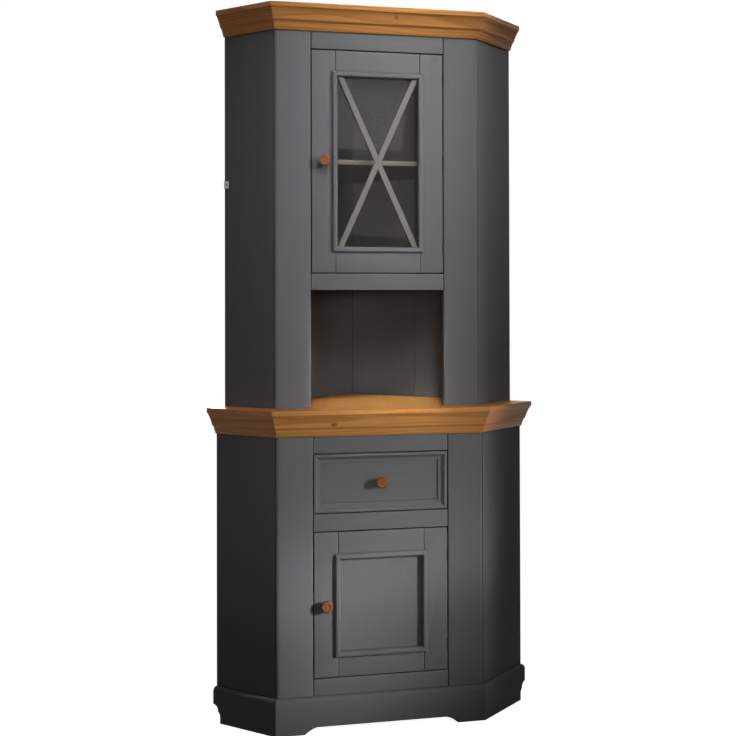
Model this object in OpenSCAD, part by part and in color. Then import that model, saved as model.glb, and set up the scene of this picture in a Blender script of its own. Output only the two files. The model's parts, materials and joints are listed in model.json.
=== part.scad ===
// A five-sided corner buffet with a glazed hutch: its front looks along -Y, its two back walls meet
// at a right angle on the +Y side, and each short side stands square to its wall.

/* [Plan of the corner] */
// Width of the front between the two short sides
front_w = 560; // [520:5:640]
// Length of the base's short sides, from the front corner to the wall
side_l = 219; // [200:1:260]
// How far the hutch's front stands behind the base's front
hutch_setback = 46.5; // [30:0.5:70]

/* [Heights from the floor up] */
// Height of the plinth boards
plinth_h = 96; // [85:1:130]
// Height of the base's bottom rail
base_bottom_rail_h = 44.5; // [30:0.5:70]
// Height of the base door's opening
base_opening_h = 394.5; // [320:0.5:520]
// Height of the rail between door and drawer
mid_rail_h = 46; // [30:1:70]
// Height of the drawer's opening
drawer_opening_h = 163; // [140:1:200]
// Height of the rail that shows over the drawer
base_top_rail_h = 46; // [30:1:70]
// Height of the moulded edge under and round the worktop
worktop_edge_h = 73; // [60:1:90]
// Height of the open niche over the worktop
niche_h = 321.5; // [250:0.5:420]
// Height of the hutch's bottom rail
hutch_bottom_rail_h = 44.5; // [30:0.5:70]
// Height of the hutch door's opening
hutch_opening_h = 615.5; // [480:0.5:760]
// Height of the rail that shows over the hutch door
hutch_top_rail_h = 47; // [30:1:70]
// Height of the crown moulding
crown_h = 68.5; // [60:0.5:90]

/* [Boards] */
// Width of the front posts
post_w = 94.5; // [80:0.5:110]
// Thickness of the posts and of the rails between them
frame_t = 22; // [20:0.5:28]
// Thickness of the short sides
side_t = 18; // [16:0.5:22]
// Thickness of the back boards
back_t = 12; // [11:0.5:16]
// Width of the back board next to the room's corner
back_board_w = 252; // [200:1:300]
// Thickness of the cupboard floors
floor_t = 18; // [12:0.5:22]
// Thickness of the shelves
shelf_t = 13; // [10:0.5:20]
// How far the shelves stand behind the front frame
shelf_setback = 12; // [4:1:40]
// Height of the base shelf's underside over the cupboard floor
base_shelf_rise = 190; // [150:1:220]
// Height of the hutch shelf's underside over the hutch floor
hutch_shelf_rise = 304; // [200:1:380]
// Thickness of the worktop boards
worktop_t = 20; // [16:1:24]
// Thickness of the hutch's top board
hutch_top_t = 18; // [14:1:22]
// Easing of the front arrises, which makes the grooves at the joints
arris = 1.5; // [0.8:0.1:2.2]
// Width of the shadow groove at the ends of the rails between the posts
rail_groove_w = 2; // [1:0.1:3]
// Depth of the shadow groove at the ends of the rails
rail_groove_d = 6; // [3:0.5:8]
// Bevel on the outer corner of the posts
post_bevel = 4; // [2:0.5:6]
// Width of the quirk between a post and its side
quirk_w = 4; // [2:0.5:6]
// Depth of the quirk between a post and its side
quirk_d = 3; // [1.5:0.5:5]

/* [Plinth] */
// Thickness of the plinth boards, which stand proud of the carcass
plinth_t = 14; // [13:0.5:20]
// Radius of the plinth's rounded top edge
plinth_r = 12; // [6:0.5:12.5]
// Height of the arch under the front plinth
arch_h = 18; // [8:1:26]
// Length of each foot of the front plinth, measured from the front corner
arch_foot_l = 72; // [50:1:100]
// Length of the curve at each end of the arch
arch_curve_l = 35; // [20:1:50]
// Depth of the notch that clears the room's skirting board
skirting_d = 25.5; // [15:0.5:28]
// Height of the notch that clears the room's skirting board
skirting_h = 50; // [40:1:60]
// Depth of the round nose at the notch's top
notch_nose = 18; // [8:0.5:22]
// Depth of the slanting step under the nose
notch_step = 3.5; // [1:0.5:5]
// How far the carcass stands above the skirting notch
carcass_rise = 2; // [1:0.5:6]
// Width of the square foot near the room's corner
rear_foot_w = 60; // [40:1:80]
// Distance of the rear foot from the walls
rear_foot_inset = 32; // [30:1:50]

/* [Mouldings] */
// Overhang of the worktop's edge
worktop_over = 38.5; // [34:0.5:48]
// Overhang of the crown
crown_over = 35.5; // [32:0.5:48]
// Height of the lip at the top of both mouldings
lip_h = 13.5; // [8:0.5:18]
// Set-back under the lip
lip_step = 3; // [1:0.5:5]
// Height of the foot member
foot_member_h = 20; // [14:0.5:24]
// Projection of the foot member at its bottom
foot_member_out = 4.5; // [2:0.5:7]
// Projection of the foot member at its top
foot_member_top = 12.5; // [9:0.5:15]
// Width of the step over the foot member
member_step_w = 5.5; // [2:0.5:8]
// Height of the step over the foot member
member_step_h = 5; // [2:0.5:8]
// Hollow of the long face between step and lip
hollow = 1.5; // [0:0.1:3]

/* [Doors] */
// Gap round the doors and the drawer
door_gap = 3; // [2.5:0.1:3.5]
// Thickness of the doors
door_t = 20; // [19:0.5:22]
// Width of the door stiles
stile_w = 64.5; // [52:0.5:75]
// Height of the base door's top rail
base_door_top_h = 67.5; // [50:0.5:90]
// Height of the base door's bottom rail
base_door_bottom_h = 61.5; // [50:0.5:90]
// Height of the hutch door's top rail
hutch_door_top_h = 66; // [50:0.5:90]
// Height of the hutch door's bottom rail
hutch_door_bottom_h = 65; // [50:0.5:90]
// Width of the fine groove at the ends of a door's rails
door_groove_w = 1.2; // [0.8:0.1:2]
// Depth of the fine groove at the ends of a door's rails
door_groove_d = 4; // [2:0.5:4.5]
// Width of the rebate that takes the panel or the glass
rebate_w = 5; // [3:0.5:8]
// Depth of the panel's and the glass's face below the door's face
panel_setback = 5; // [5:0.5:8]
// Thickness of the wooden door panel
panel_t = 6; // [4:0.5:7]
// Thickness of the glass
glass_t = 4; // [3:0.5:5]
// Width of the applied door moulding
moulding_w = 15; // [13:0.5:20]
// How much of the door moulding lies on the frame's face
moulding_lap = 4; // [2:0.5:5]
// How far the door moulding stands proud of the frame
moulding_proud = 9.5; // [6:0.5:11]
// Width of the rounding on both flanks of the door moulding
moulding_round = 5; // [3:0.5:6]
// Height of the square edge under the rounding
moulding_edge = 1.5; // [0.5:0.5:3]
// Width of the glazing bars
bar_w = 15.5; // [10:0.5:20]
// Thickness of the glazing bars
bar_t = 6; // [4:0.5:8]
// Easing of the glazing bars' edges
bar_ease = 0.8; // [0.4:0.1:2]

/* [Drawer] */
// Thickness of the drawer front
drawer_front_t = 20; // [18:0.5:22]
// Width of the flat lip round the drawer front
drawer_lip_w = 6.5; // [4:0.5:10]
// Width of the hollow between lip and field
drawer_cove_w = 11; // [8:0.5:20]
// Depth of the hollow
drawer_cove_d = 5; // [4:0.5:7]
// Width of the fillet between hollow and field
drawer_fillet_w = 6; // [3:0.5:8]
// Depth of the field below the lip
drawer_field_d = 9.5; // [8.5:0.5:10.5]
// Thickness of the drawer's sides and back
drawer_side_t = 12; // [10:0.5:15]
// Height of the drawer's sides
drawer_side_h = 120; // [90:1:128]
// Thickness of the drawer's bottom
drawer_bottom_t = 5; // [4:0.5:6]
// Height of the bottom's groove above the sides' lower edge
drawer_groove_rise = 9; // [7:0.5:14]
// Depth of the bottom's groove
drawer_groove_d = 5; // [3:0.5:6]
// Gap between the drawer box and the posts, on each side
drawer_side_gap = 4; // [2:0.5:8]
// Gap between the drawer's rear corners and the back boards
drawer_rear_gap = 24; // [12:1:40]
// Thickness of the runner under the drawer's sides
runner_t = 18; // [14:1:24]
// Width of the runner that carries the drawer's side
runner_ledge_w = 24; // [18:1:36]
// Height of the guide beside the drawer's side
guide_h = 24; // [14:1:40]
// Width of the guide beside the drawer's side
guide_w = 18; // [12:1:28]

/* [Knobs] */
// Diameter of the knobs
knob_d = 32; // [28:0.5:40]
// How far the knobs stand out
knob_l = 27; // [24:0.5:34]
// Distance of the knobs' rim from the seat
knob_rim = 20; // [16:0.5:23]
// Width of the rounding between rim and face
knob_round = 5; // [2:0.5:8]
// Depth of the hollow in the knobs' face
knob_dish = 1; // [0:0.1:2]
// Diameter of the knobs' neck
knob_neck_d = 15; // [11:0.5:18]
// Distance of the neck's narrowest place from the seat
knob_neck = 7.5; // [4:0.5:9]
// Length of the neck where it is narrowest
knob_neck_l = 2; // [0.5:0.5:4]
// Diameter of the knobs' seat
knob_seat_d = 20; // [19:0.5:26]
// Height of the band on the knobs' seat
knob_band = 1.5; // [0.5:0.5:3]
// Diameter of the peg that holds a knob
peg_d = 8; // [5:0.5:10]
// Length of the peg
peg_l = 9; // [6:0.5:9.5]

/* [Hardware] */
// Length of the hinges
hinge_l = 32; // [25:1:50]
// Diameter of the hinge barrel
barrel_d = 4.4; // [4:0.1:5]
// Diameter of the hinge pin
pin_d = 2.2; // [1.8:0.1:2.6]
// Thickness of the hinge leaves
leaf_t = 1; // [0.8:0.05:1.05]
// Width of the hinge leaves
leaf_w = 14; // [10:0.5:15]
// Distance of the outer hinges from the door's ends
hinge_inset = 70; // [50:1:90]
// Diameter of the shelf pins
shelf_pin_d = 6; // [4:0.5:8]
// Length of a shelf pin inside its board
shelf_pin_in = 8; // [5:0.5:9]
// Length of a shelf pin under its shelf
shelf_pin_out = 12; // [8:0.5:16]
// Distance of the rear shelf pins from the room's corner
shelf_pin_wall = 190; // [120:1:240]
// Width of the magnet catches
catch_w = 40; // [30:1:50]
// Height of the magnet catches
catch_h = 40; // [30:1:50]
// Depth of the magnet catches
catch_d = 14; // [10:1:20]
// Height of the magnet's pole piece
pole_h = 14; // [8:1:18]
// Width of the fixing plate along the side
plate_w = 18; // [16:0.5:26]
// Height of the fixing plate
plate_h = 20; // [16:0.5:30]
// Thickness of the fixing plate
plate_t = 2.5; // [1:0.1:4]
// Diameter of the fixing plate's screw hole
plate_hole_d = 4.5; // [3:0.1:6]
// Height of the fixing plate over the hutch door's opening
plate_rise = 240; // [100:1:400]

/* [Fits] */
// Clearance round what is laid or glued into a seat
seat_fit = 0.3; // [0.1:0.05:0.6]
// Clearance under what slides or closes
slide_fit = 0.3; // [0.2:0.05:0.6]
// Radial clearance of pins and pegs in their bores
pin_fit = 0.05; // [0.02:0.01:0.1]
// Clearance at the ends of the hinge knuckles
knuckle_fit = 0.2; // [0.1:0.05:0.4]
// Clearance round the barrels in their recesses
barrel_fit = 0.4; // [0.3:0.05:0.6]
// Clearance at the ends of the shelves
shelf_fit = 1; // [0.5:0.1:2]

/* [Hidden] */
$fn = 48;

paint = [0.40, 0.41, 0.42];
pale_paint = [0.52, 0.52, 0.51];
pine = [0.72, 0.48, 0.28];
knob_wood = [0.74, 0.40, 0.20];
raw_wood = [0.80, 0.66, 0.48];
steel = [0.66, 0.67, 0.68];
dark_steel = [0.22, 0.22, 0.23];
glass = [0.75, 0.82, 0.82, 0.35];

// The walls meet at a right angle, so each short side turns half of that away from the front.
side_turn = 45;
r2 = sqrt(2);
cut_past = 1;

// A tier's plan is [half its front's width, its front's y, its short sides' length].
room_corner = front_w / 2 + side_l * r2;
overall_d = worktop_over + room_corner;
base_y = worktop_over - overall_d / 2;
base = [front_w / 2, base_y, side_l];
hutch = [front_w / 2, base_y + hutch_setback, side_l - hutch_setback / r2];

function corner_y(tier) = tier[1] + tier[0] + tier[2] * r2;
function wall_l(tier) = tier[0] * r2 + tier[2];

// A tier's five-cornered plan, drawn in from its front, its short sides and its backs.
function inset_plan(tier, front_in, side_in, back_in) =
    let (
        y0 = tier[1] + front_in,
        x0 = tier[0] - side_in * r2 + front_in,
        yc = corner_y(tier) - back_in * r2,
        side_line = tier[1] - tier[0] + side_in * r2,
        yw = (yc + side_line) / 2,
        xw = yw - side_line
    )
    [[-x0, y0], [x0, y0], [xw, yw], [0, yc], [-xw, yw]];

// Heights, from the floor up.
carcass_z = skirting_h + carcass_rise;
base_opening_z = plinth_h + base_bottom_rail_h;
mid_rail_z = base_opening_z + base_opening_h;
drawer_opening_z = mid_rail_z + mid_rail_h;
base_top_rail_z = drawer_opening_z + drawer_opening_h;
worktop_edge_z = base_top_rail_z + base_top_rail_h;
worktop_z = worktop_edge_z + worktop_edge_h;
base_carcass_top = worktop_z - worktop_t;
hutch_rail_z = worktop_z + niche_h;
hutch_opening_z = hutch_rail_z + hutch_bottom_rail_h;
hutch_top_rail_z = hutch_opening_z + hutch_opening_h;
crown_z = hutch_top_rail_z + hutch_top_rail_h;
overall_h = crown_z + crown_h;
hutch_carcass_top = overall_h - hutch_top_t;
base_shelf_z = base_opening_z + base_shelf_rise;
hutch_shelf_z = hutch_opening_z + hutch_shelf_rise;

// Doors.
opening_w = front_w - 2 * post_w;
door_w = opening_w - 2 * door_gap;
base_door_h = base_opening_h - 2 * door_gap;
hutch_door_h = hutch_opening_h - 2 * door_gap;
// A door is [its height, its bottom rail's height, its top rail's height].
base_door = [base_door_h, base_door_bottom_h, base_door_top_h];
hutch_door = [hutch_door_h, hutch_door_bottom_h, hutch_door_top_h];
pocket_x = stile_w - rebate_w;
tongue_w = moulding_w - moulding_lap;
sight_x = pocket_x + tongue_w;

// Hinges: the pin stands in the middle of the gap, in the plane of the front.
hinge_x = opening_w / 2 - door_gap / 2;
knuckle_l = (hinge_l - 2 * knuckle_fit) / 3;
base_hinge_zs = [hinge_inset, base_door_h - hinge_inset];
hutch_hinge_zs = [hinge_inset, hutch_door_h / 2, hutch_door_h - hinge_inset];

// Drawer.
drawer_front_w = opening_w - 2 * door_gap;
drawer_front_h = drawer_opening_h - 2 * door_gap;
drawer_z = drawer_opening_z + slide_fit;
box_w = opening_w - 2 * drawer_side_gap;
box_rear_y = corner_y(base) - back_t * r2 - box_w / 2 - drawer_rear_gap;
box_front_y = base_y + drawer_front_t;
box_l = box_rear_y - box_front_y;
drawer_bottom_z = drawer_z + drawer_groove_rise;

function arc(cx, cy, rx, ry, from, to, steps) =
    [for (i = [0:steps]) let (t = from + (to - from) * i / steps) [cx + rx * cos(t), cy + ry * sin(t)]];

// The moulding of worktop and crown, as [distance out of the carcass, height].
function cornice(over, h) =
    let (
        a = [foot_member_top + member_step_w, foot_member_h + member_step_h],
        b = [over - lip_step, h - lip_h - lip_step / 3],
        run = b - a,
        side = [-run[1], run[0]] / norm(run),
        steps = 8
    )
    concat(
        [[0, 0], [foot_member_out, 0], [foot_member_top, foot_member_h]],
        [for (i = [0:steps]) let (t = i / steps) a + run * t + side * hollow * sin(180 * t)],
        [[over, h - lip_h], [over, h], [0, h]]
    );

function plinth_profile() =
    concat(
        [[0, 0], [plinth_t, 0]],
        arc(plinth_t - plinth_r, plinth_h - plinth_r, plinth_r, plinth_r, 0, 90, 8),
        [[0, plinth_h]]
    );

// Places a piece on the right-hand short side: +X runs from the front corner to the wall, -Y looks out.
module on_side(tier) {
    translate([tier[0], tier[1], 0]) rotate(side_turn) children();
}

// Places a piece on the right-hand back wall: +X runs from the short side to the room's corner.
module on_back(tier) {
    translate([tier[0] + tier[2] / r2, tier[1] + tier[2] / r2, 0]) rotate(180 - side_turn) children();
}

module left_hand() {
    mirror([1, 0, 0]) children();
}

// A moulding from x = 0 to x = l on a carcass face; the profile's x is the distance out of that face.
// A mitred end follows the corner to the next face, and a square end meets a wall.
module moulding_run(profile, l, mitre_start, mitre_end) {
    lean = side_turn / 2;
    reach = worktop_over + crown_over;
    difference() {
        translate([-reach, 0, 0]) rotate([90, 0, 90]) linear_extrude(l + 2 * reach)
            polygon([for (p = profile) [-p[0], p[1]]]);
        rotate(mitre_start ? -lean : 0)
            translate([-3 * reach, -2 * reach, -cut_past])
                cube([3 * reach, 4 * reach, overall_h]);
        translate([l, 0, 0]) rotate(mitre_end ? lean : 0)
            translate([0, -2 * reach, -cut_past])
                cube([3 * reach, 4 * reach, overall_h]);
    }
}

// A board that stands upright, with its face at y = 0 and its four front arrises eased.
module upright_board(w, h, t) {
    intersection() {
        linear_extrude(h)
            polygon([[0, t], [0, arris], [arris, 0], [w - arris, 0], [w, arris], [w, t]]);
        rotate([90, 0, 90]) linear_extrude(w)
            polygon([[t, 0], [arris, 0], [0, arris], [0, h - arris], [arris, h], [t, h]]);
    }
}

// A rail between two uprights: its face stops short of them, and the groove left there draws a dark line.
module grooved_rail(w, h, t, groove_w, groove_d) {
    translate([groove_w, 0, 0]) upright_board(w - 2 * groove_w, h, t);
    translate([0, groove_d, 0]) cube([w, t - groove_d, h]);
}

// Plinth.

// The outline of a skirting board with some air round it: a round nose, a step and a straight face.
function notch_profile() =
    concat(
        arc(0, skirting_h - notch_nose, notch_nose, notch_nose, 90, 0, 8),
        [
            [notch_nose + notch_step, skirting_h - notch_nose - notch_step],
            [skirting_d, skirting_h - notch_nose - 3 * notch_step],
            [skirting_d, -cut_past], [-cut_past, -cut_past], [-cut_past, skirting_h]
        ]
    );

module plinth_front() {
    rise = 1.8;
    steps = 12;
    foot_x = arch_foot_l;
    half = front_w / 2;
    curve = [for (i = [0:steps]) let (t = i / steps)
        [half - foot_x - arch_curve_l * (1 - t), arch_h * (1 - pow(t, rise))]];
    arch = concat(
        curve, [[half - foot_x, -cut_past], [foot_x - half, -cut_past]],
        [for (i = [steps:-1:0]) [-curve[i][0], curve[i][1]]]
    );
    color(paint) translate([0, base_y, 0])
        difference() {
            translate([-half, 0, 0]) moulding_run(plinth_profile(), front_w, true, true);
            translate([0, cut_past, 0]) rotate([90, 0, 0])
                linear_extrude(plinth_t + 2 * cut_past) polygon(arch);
        }
}

module plinth_side() {
    color(paint) on_side(base)
        difference() {
            moulding_run(plinth_profile(), side_l, true, false);
            translate([side_l, cut_past, 0]) mirror([1, 0, 0]) rotate([90, 0, 0])
                linear_extrude(plinth_t + 2 * cut_past) polygon(notch_profile());
        }
}

module rear_foot() {
    tip = corner_y(base) - rear_foot_inset * r2;
    half = rear_foot_w / r2;
    color(raw_wood) linear_extrude(base_opening_z - floor_t)
        polygon([[0, tip], [-half, tip - half], [0, tip - 2 * half], [half, tip - half]]);
}

// Carcass of both tiers.

module post(tier, z0, z1, hinge_zs) {
    x0 = opening_w / 2;
    half = tier[0];
    y0 = tier[1];
    d = [sin(side_turn), cos(side_turn)];
    n = [-cos(side_turn), sin(side_turn)];
    corner = [half, y0];
    color(paint) difference() {
        translate([0, 0, z0]) linear_extrude(z1 - z0)
            polygon([
                [x0, y0 + arris], [x0 + arris, y0], [half - post_bevel, y0],
                corner + d * post_bevel, corner + d * post_bevel + n * side_t,
                [half - side_t * r2 + frame_t, y0 + frame_t], [x0, y0 + frame_t]
            ]);
        for (z = hinge_zs) barrel_recess(y0, z);
    }
}

module side_panel(tier, z0, z1) {
    l = tier[2];
    start = post_bevel;
    color(paint) on_side(tier) translate([0, 0, z0]) linear_extrude(z1 - z0)
        polygon([
            [start, quirk_d], [start + quirk_w, quirk_d], [start + quirk_w, 0],
            [l, 0], [l, side_t], [start, side_t]
        ]);
}

module side_board(tier, z0, z1, pin_z) {
    difference() {
        side_panel(tier, z0, z1);
        shelf_pin_bores(tier, pin_z);
    }
}

// A back of tongued boards: it reaches the room's corner, or stops short of the other back there.
module back_board(tier, z0, z1, stops_short, pin_z) {
    l = wall_l(tier) - (stops_short ? back_t : 0);
    joint = wall_l(tier) - back_board_w;
    color(paint) difference() {
        on_back(tier) translate([0, 0, z0]) linear_extrude(z1 - z0)
            polygon([
                [side_t, 0], [l, 0], [l, back_t],
                [joint + arris, back_t], [joint, back_t - arris], [joint - arris, back_t],
                [side_t, back_t]
            ]);
        shelf_pin_bores(tier, pin_z);
    }
}

module rail(tier, z, h) {
    color(paint) translate([-opening_w / 2, tier[1], z])
        grooved_rail(opening_w, h, frame_t, rail_groove_w, rail_groove_d);
}

module level_board(tier, z, t, front_in, side_in, back_in) {
    translate([0, 0, z]) linear_extrude(t) polygon(inset_plan(tier, front_in, side_in, back_in));
}

module shelf(tier, z) {
    color(pale_paint)
        level_board(tier, z, shelf_t, frame_t + shelf_setback, side_t + shelf_fit, back_t + shelf_fit);
}

// Shelf pins: one in each short side and one in each back, right-hand pair.
module shelf_pin_places(tier, shelf_z) {
    z = shelf_z - shelf_pin_d / 2;
    on_side(tier) translate([tier[2] / 2, side_t, z]) rotate([-90, 0, 0]) children();
    on_back(tier) translate([wall_l(tier) - shelf_pin_wall, back_t, z]) rotate([-90, 0, 0]) children();
}

module shelf_pin_bores(tier, shelf_z) {
    shelf_pin_places(tier, shelf_z) translate([0, 0, -shelf_pin_in])
        cylinder(d = shelf_pin_d + 2 * pin_fit, h = shelf_pin_in + cut_past);
}

module shelf_pins() {
    color(steel)
        for (hand = [0, 1]) mirror([hand, 0, 0]) {
            shelf_pin_places(base, base_shelf_z) translate([0, 0, -shelf_pin_in])
                cylinder(d = shelf_pin_d, h = shelf_pin_in + shelf_pin_out);
            shelf_pin_places(hutch, hutch_shelf_z) translate([0, 0, -shelf_pin_in])
                cylinder(d = shelf_pin_d, h = shelf_pin_in + shelf_pin_out);
        }
}

// Runners: a ledge under each drawer side and a guide beside it, from the post to the back.
module drawer_runners() {
    guide_x = box_w / 2 + slide_fit;
    color(raw_wood) for (hand = [0, 1]) mirror([hand, 0, 0])
        intersection() {
            translate([0, base_y + frame_t, 0]) rotate([-90, 0, 0]) linear_extrude(room_corner)
                polygon([
                    [guide_x + guide_w, runner_t - drawer_opening_z],
                    [box_w / 2 - runner_ledge_w, runner_t - drawer_opening_z],
                    [box_w / 2 - runner_ledge_w, -drawer_opening_z],
                    [guide_x, -drawer_opening_z],
                    [guide_x, -drawer_opening_z - guide_h],
                    [guide_x + guide_w, -drawer_opening_z - guide_h]
                ]);
            level_board(
                base, mid_rail_z - mid_rail_h, base_top_rail_z - mid_rail_z, frame_t, side_t, back_t
            );
        }
}

// Hinges.

module barrel_recess(y, z) {
    translate([hinge_x, y, z - hinge_l / 2 - barrel_fit])
        cylinder(r = barrel_d / 2 + barrel_fit, h = hinge_l + 2 * barrel_fit);
}

// A leaf lies flat against its edge, and a tab joins it to a knuckle. Toward is 1 at the post, -1 at
// the door.
module leaf(toward) {
    inner = door_gap / 2 - leaf_t;
    y0 = barrel_d / 2 + barrel_fit;
    translate([toward > 0 ? inner : -inner - leaf_t, y0, -hinge_l / 2]) cube([leaf_t, leaf_w, hinge_l]);
}

module leaf_tab(toward, z0, h) {
    inner = door_gap / 2 - leaf_t;
    y0 = pin_d / 2 + (barrel_d - pin_d) / 4;
    translate([toward > 0 ? inner : -inner - leaf_t, y0, z0])
        cube([leaf_t, barrel_d / 2 + barrel_fit - y0 + leaf_w / 2, h]);
}

module hinge_frame_leaf() {
    leaf(1);
    cylinder(d = pin_d, h = hinge_l, center = true);
    for (z0 = [-hinge_l / 2, hinge_l / 2 - knuckle_l]) {
        translate([0, 0, z0]) cylinder(d = barrel_d, h = knuckle_l);
        leaf_tab(1, z0, knuckle_l);
    }
}

module hinge_door_leaf() {
    leaf(-1);
    difference() {
        union() {
            cylinder(d = barrel_d, h = knuckle_l, center = true);
            leaf_tab(-1, -knuckle_l / 2, knuckle_l);
        }
        cylinder(d = pin_d + 2 * pin_fit, h = hinge_l, center = true);
    }
}

module hinge_frame_leaves() {
    color(dark_steel) {
        for (z = base_hinge_zs)
            translate([hinge_x, base[1], base_opening_z + door_gap + z]) hinge_frame_leaf();
        for (z = hutch_hinge_zs)
            translate([hinge_x, hutch[1], hutch_opening_z + door_gap + z]) hinge_frame_leaf();
    }
}

// Magnet catches: each is screwed to the back of the rail over its door, and its pole meets the door.
module magnet_catch(tier, opening_top) {
    x0 = -opening_w / 2 + stile_w / 4;
    low = opening_top - catch_h / 2;
    y0 = tier[1] + frame_t;
    translate([x0, y0, low]) cube([catch_w, catch_d, catch_h]);
    translate([x0, tier[1] + door_t + slide_fit, low]) cube([catch_w, frame_t - door_t, pole_h]);
}

module door_catches() {
    color(steel) {
        magnet_catch(base, mid_rail_z);
        magnet_catch(hutch, hutch_top_rail_z);
    }
}

// A small screw plate on the left-hand side, flush with its rear edge.
module fixing_plate() {
    color(steel) left_hand() on_side(hutch) translate([hutch[2] - plate_w, 0, hutch_opening_z + plate_rise])
        difference() {
            translate([0, -plate_t, 0]) cube([plate_w, plate_t, plate_h]);
            translate([plate_w / 2, cut_past, plate_h / 2]) rotate([90, 0, 0])
                cylinder(d = plate_hole_d, h = plate_t + 2 * cut_past);
        }
}

// Doors: modelled from their lower left corner, with the face at y = 0, and then hung in their opening.

module in_opening(tier, opening_z) {
    translate([-door_w / 2, tier[1], opening_z + door_gap]) children();
}

module base_door_place() {
    in_opening(base, base_opening_z) children();
}

module hutch_door_place() {
    in_opening(hutch, hutch_opening_z) children();
}

// The rebated pocket that runs round the opening of a door's frame.
module pocket(door, depth) {
    translate([pocket_x, -cut_past, door[1] - rebate_w])
        cube([door_w - 2 * pocket_x, depth + cut_past, door[0] - door[1] - door[2] + 2 * rebate_w]);
}

module lock_stile(door, depth) {
    color(paint) difference() {
        upright_board(stile_w, door[0], door_t);
        pocket(door, depth);
        translate([stile_w / 2, -cut_past, door[0] / 2]) rotate([-90, 0, 0])
            cylinder(d = peg_d + 2 * pin_fit, h = cut_past + peg_l + seat_fit);
    }
}

module hinge_stile(door, depth, hinge_zs) {
    color(paint) difference() {
        translate([door_w - stile_w, 0, 0]) upright_board(stile_w, door[0], door_t);
        pocket(door, depth);
        translate([door_w / 2, 0, 0]) for (z = hinge_zs) barrel_recess(0, z);
    }
}

module door_rail(door, depth, z, h) {
    color(paint) difference() {
        translate([stile_w, 0, z])
            grooved_rail(door_w - 2 * stile_w, h, door_t, door_groove_w, door_groove_d);
        pocket(door, depth);
    }
}

// What lies in the pocket: a panel or a pane, against the shoulder.
module infill(door, t) {
    translate([pocket_x + seat_fit, panel_setback, door[1] - rebate_w + seat_fit])
        cube([
            door_w - 2 * (pocket_x + seat_fit), t,
            door[0] - door[1] - door[2] + 2 * (rebate_w - seat_fit)
        ]);
}

// A mitred frame that stands in the XZ plane, w wide and h high. The profile's x runs in from the outer
// edge, and its y is the height in front of y = 0.
module mitred_frame(w, h, profile) {
    n = len(profile);
    polyhedron(
        points = [
            for (p = profile) for (corner = [[0, 0], [1, 0], [1, 1], [0, 1]])
                [p[0] + corner[0] * (w - 2 * p[0]), -p[1], p[0] + corner[1] * (h - 2 * p[0])]
        ],
        faces = [
            for (i = [0:n - 1]) for (j = [0:3])
                let (next = (i + 1) % n, k = (j + 1) % 4)
                [4 * i + j, 4 * next + j, 4 * next + k, 4 * i + k]
        ]
    );
}

module door_moulding(door) {
    tongue_x = moulding_lap + seat_fit;
    rise = moulding_proud - moulding_edge;
    profile = concat(
        [[tongue_x, 0], [0, 0]],
        arc(moulding_round, moulding_edge, moulding_round, rise, 180, 90, 6),
        arc(moulding_w - moulding_round, moulding_edge, moulding_round, rise, 90, 0, 6),
        [[moulding_w, -panel_setback], [tongue_x, -panel_setback]]
    );
    x0 = pocket_x - moulding_lap;
    z0 = door[1] - rebate_w - moulding_lap;
    color(paint) translate([x0, 0, z0])
        mitred_frame(
            door_w - 2 * x0, door[0] - door[1] - door[2] + 2 * (rebate_w + moulding_lap), profile
        );
}

// Two bars whose outer edges run from corner to corner of the glass, halved and glued where they cross.
module glazing_bars(door) {
    w = door_w - 2 * sight_x;
    z0 = door[1] - rebate_w + tongue_w;
    h = door[0] - z0 - (door[2] - rebate_w + tongue_w);
    turn = atan((w - bar_w / cos(atan(w / h))) / h);
    half = bar_w / 2;
    color(pale_paint) translate([door_w / 2, panel_setback, z0 + h / 2])
        intersection() {
            for (way = [-1, 1]) rotate([0, way * turn, 0]) linear_extrude(2 * h, center = true)
                polygon([
                    [-half, 0], [half, 0], [half, bar_ease - bar_t],
                    [half - bar_ease, -bar_t], [bar_ease - half, -bar_t], [-half, bar_ease - bar_t]
                ]);
            cube([w, 3 * bar_t, h], center = true);
        }
}

// A turned knob on the plane y = 0, with its peg behind it.
module knob() {
    r = knob_d / 2;
    neck = knob_neck_d / 2;
    seat = knob_seat_d / 2;
    bell = knob_rim - knob_neck - knob_neck_l;
    profile = concat(
        [[0, -peg_l], [peg_d / 2, -peg_l], [peg_d / 2, 0], [seat, 0]],
        arc(seat, knob_neck, seat - neck, knob_neck - knob_band, 270, 180, 6),
        arc(neck, knob_rim, r - neck, bell, 270, 360, 8),
        arc(r - knob_round, knob_rim, knob_round, knob_l - knob_rim, 15, 90, 5),
        arc(0, knob_l, r - knob_round, -knob_dish, 15, 90, 5)
    );
    color(knob_wood) rotate([90, 0, 0]) rotate_extrude() polygon(profile);
}

module door_knob(door) {
    translate([stile_w / 2, 0, door[0] / 2]) knob();
}

module door_hinge_leaves(zs) {
    color(dark_steel) translate([door_w / 2 + hinge_x, 0, 0])
        for (z = zs) translate([0, 0, z]) hinge_door_leaf();
}

// Drawer.

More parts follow.
